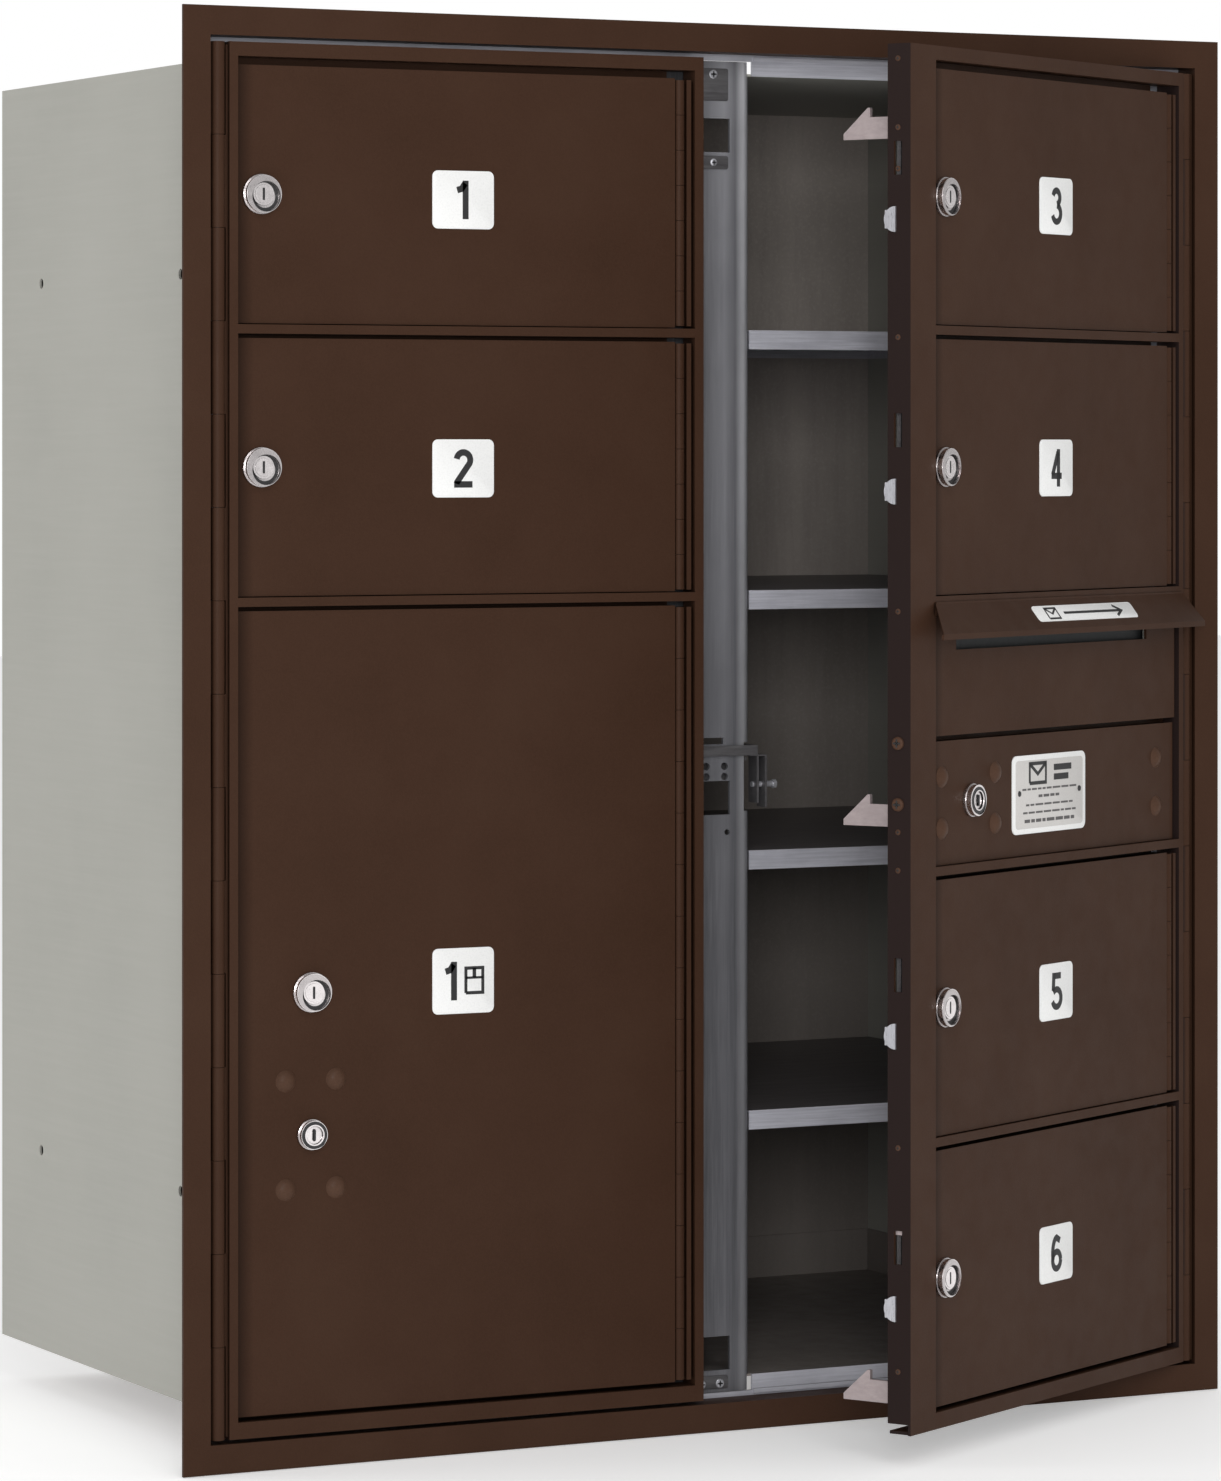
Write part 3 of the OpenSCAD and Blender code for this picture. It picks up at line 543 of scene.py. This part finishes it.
def stroke_edges(points, width):
    """Left and right edge points of a stroke that follows the points, with mitred joints."""
    left, right = [], []
    for i, (x, z) in enumerate(points):
        before = Vector(points[max(i - 1, 0)])
        after = Vector(points[min(i + 1, len(points) - 1)])
        here = Vector((x, z))
        first = (here - before).normalized() if i > 0 else (after - here).normalized()
        second = (after - here).normalized() if i < len(points) - 1 else first
        normal = Vector((-(first + second).y, (first + second).x)).normalized()
        reach = width / 2 / max(normal.dot(Vector((-first.y, first.x))), 0.4)
        left.append(here + normal * reach)
        right.append(here - normal * reach)
    return left, right


def printed_strokes(name, strokes, x, y, z, body, slot, matrix, ink):
    """Ink strokes proud of a surface. strokes are (points, width), in millimetres from (x, z)."""
    bm = bmesh.new()
    for points, width in strokes:
        left, right = stroke_edges(points, width)
        rows = []
        for depth in (0.0, -INK_THICK):
            rows.append([[bm.verts.new(((x + p.x) * MM, (y + depth) * MM, (z + p.y) * MM)) for p in side]
                         for side in (left, right)])
        for i in range(len(points) - 1):
            for back, front in ((rows[1][0], rows[1][1]), (rows[0][1], rows[0][0]),
                                (rows[0][0], rows[1][0]), (rows[1][1], rows[0][1])):
                bm.faces.new((back[i], back[i + 1], front[i + 1], front[i]))
        for i in (0, len(points) - 1):
            bm.faces.new((rows[0][0][i], rows[0][1][i], rows[1][1][i], rows[1][0][i]))
    return place(mesh_object(name, bm, [ink], matrix), body, slot)


def digit_strokes(digit, dx=0.0, high=25.5, thick=4.3):
    """Strokes of a narrow sans digit, centred on zero."""
    t = thick / 2
    top = high / 2 - t
    low = -top
    bowl = 5.0
    shapes = {
        "1": [[(1.6, low - t), (1.6, top + t)], [(-4.6, top - 4.2), (-1.2, top - 3.2), (1.2, top + 0.4)]],
        "2": [arc(0, top - bowl, bowl, 172, -28) + [(-4.6, low + 1.6), (-5.0, low + 0.4)],
              [(-6.8, low), (6.6, low)]],
        "3": [arc(-0.2, top - 4.7, 4.7, 165, -80), arc(0, low + 5.6, 5.6, 84, -165)],
        "4": [[(2.6, low - t), (2.6, top + t)], [(1.9, top), (-5.4, low + 5.8)],
              [(-7.0, low + 5.2), (7.0, low + 5.2)]],
        "5": [[(5.8, top), (-3.8, top)], [(-3.7, top + t), (-4.6, top - 10.0)],
              arc(0, low + 6.0, 6.0, 138, -160)],
        "6": [arc(0, low + 5.8, 5.4, 0, 360, 24, 1.06),
              arc(0.4, 0, 5.8, 205, 95, 10, top / 5.8) + [(4.6, top - 2.4)]],
    }
    return [([(px + dx, pz) for px, pz in points], thick) for points in shapes[digit]]


def parcel_strokes(dx):
    """Strokes of a small parcel: a box with a lid line and a band."""
    w, h = 6.2, 8.2
    outline = [(-w, -h), (w, -h), (w, h), (-w, h), (-w, -h)]
    marks = [(outline, 2.2), ([(-w, h - 6.4), (w, h - 6.4)], 1.6), ([(0, h - 6.4), (0, h)], 2.6)]
    return [([(px + dx, pz) for px, pz in points], width) for points, width in marks]


def envelope_strokes(dx, dz, half, high, thick):
    """Strokes of an envelope with its flap."""
    outline = [(-half, -high), (half, -high), (half, high), (-half, high), (-half, -high)]
    marks = [(outline, thick), ([(-half, high), (0, -high * 0.1), (half, high)], thick)]
    return [([(px + dx, pz + dz) for px, pz in points], width) for points, width in marks]


def number_label(name, strokes, x, z, height, body, matrix):
    """A white plate with round corners and a printed mark."""
    face = PAN_FACE - LABEL_THICK
    sheet = slab(rounded_outline(LABEL_WIDE, height, 4), PAN_FACE, face)
    plate = mesh_object(f"label_{name}", sheet, [WHITE_LABEL], matrix @ shift(x, 0, z))
    place(plate, body, "bronze_paint")
    printed_strokes(f"digit_{name}", strokes, x, face, z, body, "bronze_paint", matrix, BLACK_INK)


def number_labels():
    """One label on each numbered door and a larger one on the parcel door."""
    for doors, pan, turn in ((LEFT_DOORS, LEFT_PAN, STILL), (RIGHT_DOORS, RIGHT_PAN, TURN)):
        for text, (low, high) in doors.items():
            z = door_middle(low, high) - 1
            body = f"compartment_{text}_door"
            number_label(text, digit_strokes(text), pan + LABEL_X, z, LABEL_HIGH, body, turn)
    marks = digit_strokes("1", -8.5) + parcel_strokes(8.0)
    number_label("parcel", marks, LEFT_PAN + LABEL_X, PARCEL_LABEL_Z, PARCEL_LABEL_HIGH,
                 "parcel_compartment_door", STILL)


def notice_placard():
    """Pale notice on the lock panel: an envelope, two pins and rows of ruled marks."""
    (x, z), face = PLACARD_AT, PANEL_FACE
    here = TURN @ shift(x, 0, z)
    plate = mesh_object("placard", slab(rounded_outline(100, 53, 5), face, face - 0.8), [WHITE_LABEL], here)
    place(plate, "right_master_door", "bronze_paint")
    inset = slab(rounded_outline(92, 46, 3), face - 0.75, face - 0.9, 0.05)
    field = mesh_object("placard_field", inset, [PLACARD], here)
    place(field, "right_master_door", "bronze_paint")
    y = face - 0.9
    picture = envelope_strokes(-16, 14, 11, 6.6, 2.4)
    picture += [([(6, 17), (30, 17)], 4.2), ([(6, 10.5), (26, 10.5)], 4.2)]
    printed_strokes("placard_picture", picture, x, y, z, "right_master_door", "bronze_paint", TURN, BLACK_INK)
    rng = random.Random(4)
    rows = []
    lines = ((3.4, 37, 1.3), (-1.6, 15, 1.8), (-7.2, 32, 1.3), (-12.4, 36, 1.3), (-18.0, 34, 2.2))
    for level, half, thick in lines:
        start = -half
        while start < half - 3:
            length = min(rng.uniform(3.5, 11), half - start)
            rows.append(([(start, level), (start + length, level)], thick))
            start += length + 1.7
    printed_strokes("placard_rows", rows, x, y, z, "right_master_door", "bronze_paint", TURN, GREY_INK)
    for side, dx in (("left", -41), ("right", 41)):
        pin = lathe([(2.0, 0), (1.8, -0.5), (0, -0.8)], 18)
        dot = mesh_object(f"placard_pin_{side}", pin, [BLACK_INK], TURN @ shift(x + dx, y, z + 1))
        place(dot, "right_master_door", "bronze_paint")


def hood_label():
    """White strip on the hood's slope with an envelope and an arrow."""
    tilt = Matrix.Rotation(-math.atan2(HOOD_REACH, HOOD_DROP), 4, "X")
    matrix = TURN @ shift(*HOOD_LABEL_AT) @ tilt
    strip = mesh_object("hood_label", slab(rounded_outline(138, 13, 3), 0, -0.6), [WHITE_LABEL], matrix)
    place(strip, "right_master_door", "bronze_paint")
    marks = envelope_strokes(-46, 0, 7.5, 4.2, 1.5)
    marks += [([(-30, 0), (48, 0)], 2.0), ([(41, 4.2), (50, 0), (41, -4.2)], 2.0)]
    printed_strokes("hood_arrow", marks, 0, -0.6, 0, "right_master_door", "bronze_paint", matrix, BLACK_INK)


# ---------------------------------------------------------------- fasteners

FACING_LEFT = Matrix.Rotation(math.radians(-90), 4, "Z")


def screw(name, radius, matrix, body, slot, finish, proud=1.0):
    """Round screw head facing -Y with a recessed cross."""
    dome = [(radius, 0), (radius * 0.96, -proud * 0.6), (radius * 0.75, -proud)]
    socket = [(radius * 0.34, -proud * 1.05), (radius * 0.3, -proud * 0.45), (0, -proud * 0.4)]
    place(mesh_object(name, lathe(dome + socket, 24), [finish], matrix), body, slot)
    bm = bmesh.new()
    for a, b in ((0.62, 0.13), (0.13, 0.62)):
        ring = [bm.verts.new((sx * radius * a * MM, -(proud * 1.07) * MM, sz * radius * b * MM))
                for sx, sz in ((-1, -1), (1, -1), (1, 1), (-1, 1))]
        inner = [bm.verts.new((v.co.x * 0.8, -proud * 0.5 * MM, v.co.z * 0.8)) for v in ring]
        for i in range(4):
            bm.faces.new((ring[i], ring[(i + 1) % 4], inner[(i + 1) % 4], inner[i]))
        bm.faces.new(ring)
    place(mesh_object(f"{name}_cross", bm, [BLACK_INK], matrix), body, slot)


def stile_screws():
    """Screws up the free stile's side, with two larger ones beside the master lock."""
    for kind, radius, proud, heights in (("screw", 1.9, 0.6, STILE_SCREWS), ("bolt", 4.4, 2.0, STILE_BOLTS)):
        for i, z in enumerate(heights):
            here = TURN @ shift(STILE_SIDE, 8, z) @ FACING_LEFT
            name = f"stile_{kind}_{i + 1}"
            screw(name, radius, here, "right_master_door", "bronze_paint", BRONZE_BOLT, proud)


def ring_plate(name, outer, inner, offset, depth, matrix, body, finish, steps=36):
    """A thin ring facing -Y, its hole shifted sideways by offset, in millimetres."""
    bm = bmesh.new()
    edges = ((outer, 0, 0, 0), (inner, *offset, 0), (inner, *offset, depth), (outer, 0, 0, depth))
    rows = [circle(bm, radius, dx, dz, y, steps) for radius, dx, dz, y in edges]
    for first, second in zip(rows, rows[1:] + rows[:1]):
        for i in range(steps):
            j = (i + 1) % steps
            bm.faces.new((first[i], first[j], second[j], second[i]))
    place(mesh_object(name, bm, [finish], matrix), body, "lock_chrome")


def lock_sites():
    """Each lock's name, place, door body, plug body, turn, and whether it has the large shroud."""
    for doors, x, turn in ((LEFT_DOORS, LEFT_LOCK_X, STILL), (RIGHT_DOORS, RIGHT_LOCK_X, TURN)):
        for n, lines in doors.items():
            place_at = (x, PAN_FACE, door_middle(*lines))
            yield f"lock_{n}", place_at, f"compartment_{n}_door", f"plug_{n}", turn, True
    parcel = "parcel_compartment_door"
    yield "parcel_lock", (PARCEL_LOCK[0], PAN_FACE, PARCEL_LOCK[1]), parcel, "parcel_plug", STILL, True
    yield "carrier_lock", (CARRIER_LOCK[0], PAN_FACE, CARRIER_LOCK[1]), parcel, "carrier_plug", STILL, False
    master = (MASTER_LOCK[0], PANEL_FACE, MASTER_LOCK[1])
    yield "master_lock", master, "right_master_door", "master_plug", TURN, False


def lock_faces():
    """Painted shade on the faces of the locks: near-black rings in the recesses and a darker chrome crescent
    on the large shrouds; also bright rings and black keyways.
    """
    for name, place_at, body, plug, turn, large in lock_sites():
        here = turn @ shift(*place_at)
        if large:
            rim = here @ shift(0, -5.95, 0)
            floor = here @ shift(1.6, -3.0, -1.6)
            # Painted shade: a near-black ring in the recess.
            ring_plate(f"{name}_recess", 9.7, 7.45, (0, 0), -0.15, floor, body, RECESS_SHADE)
            # Painted shade: a darker chrome crescent on the shroud.
            ring_plate(f"{name}_shroud_shade", 12.0, 10.1, (1.5, -1.5), -0.25, rim, body, SHADED_SHROUD)
            depth = -5.25
        else:
            rim = here @ shift(0, -6.0, 0)
            # Painted shade: a near-black ring in the recess.
            ring_plate(f"{name}_recess", 9.0, 6.6, (0, 0), -0.2, rim, body, RECESS_SHADE)
            ring_plate(f"{name}_inner_ring", 6.9, 6.05, (0, 0), -0.5, rim, body, CHROME)
            depth = -6.3
        key = slab(rounded_outline(1.7, 7.6, 0.8, 3), depth + 0.2, depth, 0.05)
        place(mesh_object(f"{name}_keyway", key, [BLACK_INK], here), plug, "lock_chrome")


def post_fittings():
    """Screws and small plates on the face of the centre post."""
    screws = (("post_screw_top", 3, 888), ("post_screw_low_left", -6, -3), ("post_screw_low_right", 8, -3))
    for name, x, z in screws:
        screw(name, 3.4, shift(x, POST_FACE, z), "cabinet", "bare_aluminium", FITTING_STEEL, 1.4)
    plate_face = POST_FACE - 0.9
    plates = (("post_plate_top", 881, 22), ("post_plate_middle", 828, 9), ("post_plate_low", -2, 9))
    for name, z, high in plates:
        sheet = slab(rounded_outline(29, high, 1.5), POST_FACE, plate_face)
        plate = mesh_object(name, sheet, [DARK_STEEL], shift(0, 0, z))
        place(plate, "cabinet", "bare_aluminium")
    on_plate = shift(3, plate_face, 828)
    screw("post_screw_middle", 2.6, on_plate, "cabinet", "bare_aluminium", FITTING_STEEL, 1.0)


# ---------------------------------------------------------------- studio

def studio():
    """Pale floor, soft lights and the camera."""
    scene = bpy.context.scene
    floor_z = CAD_BOX[0][2] - 0.0005
    side = 14
    bm = bmesh.new()
    corners = ((-side, -side), (side, -side), (side, side), (-side, side))
    bm.faces.new([bm.verts.new((x, y, floor_z)) for x, y in corners])
    mat, tree, shader = material("studio_floor")
    tree.links.new(ramp(tree, noise(tree, 3, 3), [(0.3, (0.93, 0.93, 0.93)), (0.7, (0.97, 0.97, 0.97))]),
                   shader.inputs["Base Color"])
    shader.inputs["Emission Color"].default_value = (1, 1, 1, 1)
    shader.inputs["Emission Strength"].default_value = 0.32
    shader.inputs["Roughness"].default_value = 0.7
    floor = mesh_object("studio_floor", bm, [mat])
    world = bpy.data.worlds.new("studio")
    world.use_nodes = True
    world.node_tree.nodes["Background"].inputs["Color"].default_value = (1, 1, 1, 1)
    tree = world.node_tree
    path = add(tree, "ShaderNodeLightPath")
    strength = spread(tree, path.outputs["Is Camera Ray"], 0.54, 1.0)
    tree.links.new(strength, tree.nodes["Background"].inputs["Strength"])
    scene.world = world
    scene.view_settings.view_transform = "Standard"

    def area(name, place_at, target, size, power):
        """A soft rectangular light that looks at target, in metres and watts."""
        light = bpy.data.lights.new(name, "AREA")
        light.shape = "RECTANGLE"
        light.size, light.size_y = size
        light.energy = power
        lamp = bpy.data.objects.new(name, light)
        lamp.location = place_at
        lamp.rotation_euler = (Vector(target) - Vector(place_at)).to_track_quat("-Z", "Y").to_euler()
        scene.collection.objects.link(lamp)

    area("key_light", (-0.9, -3.4, 2.6), (0, 0, 0.4), (1.8, 1.8), 34)
    area("fill_light", (-1.75, -3.4, 0.95), (0.15, 0.2, 0.5), (0.7, 0.7), 37)
    area("back_light", (-2.6, 1.2, 1.6), (0, 0.3, 0.5), (1.4, 1.4), 14)

    camera = bpy.data.cameras.new("camera")
    camera.sensor_width = 36
    camera.sensor_fit = "AUTO"
    camera.lens = 141.9
    camera.shift_y = -0.198
    camera.clip_start = 0.1
    camera.clip_end = 60
    eye = bpy.data.objects.new("camera", camera)
    eye.location = CAMERA_AT
    eye.rotation_euler = (math.radians(90), 0, math.radians(CAMERA_TURN))
    scene.collection.objects.link(eye)
    scene.camera = eye


finish_frame()
number_labels()
notice_placard()
hood_label()
stile_screws()
lock_faces()
post_fittings()
studio()
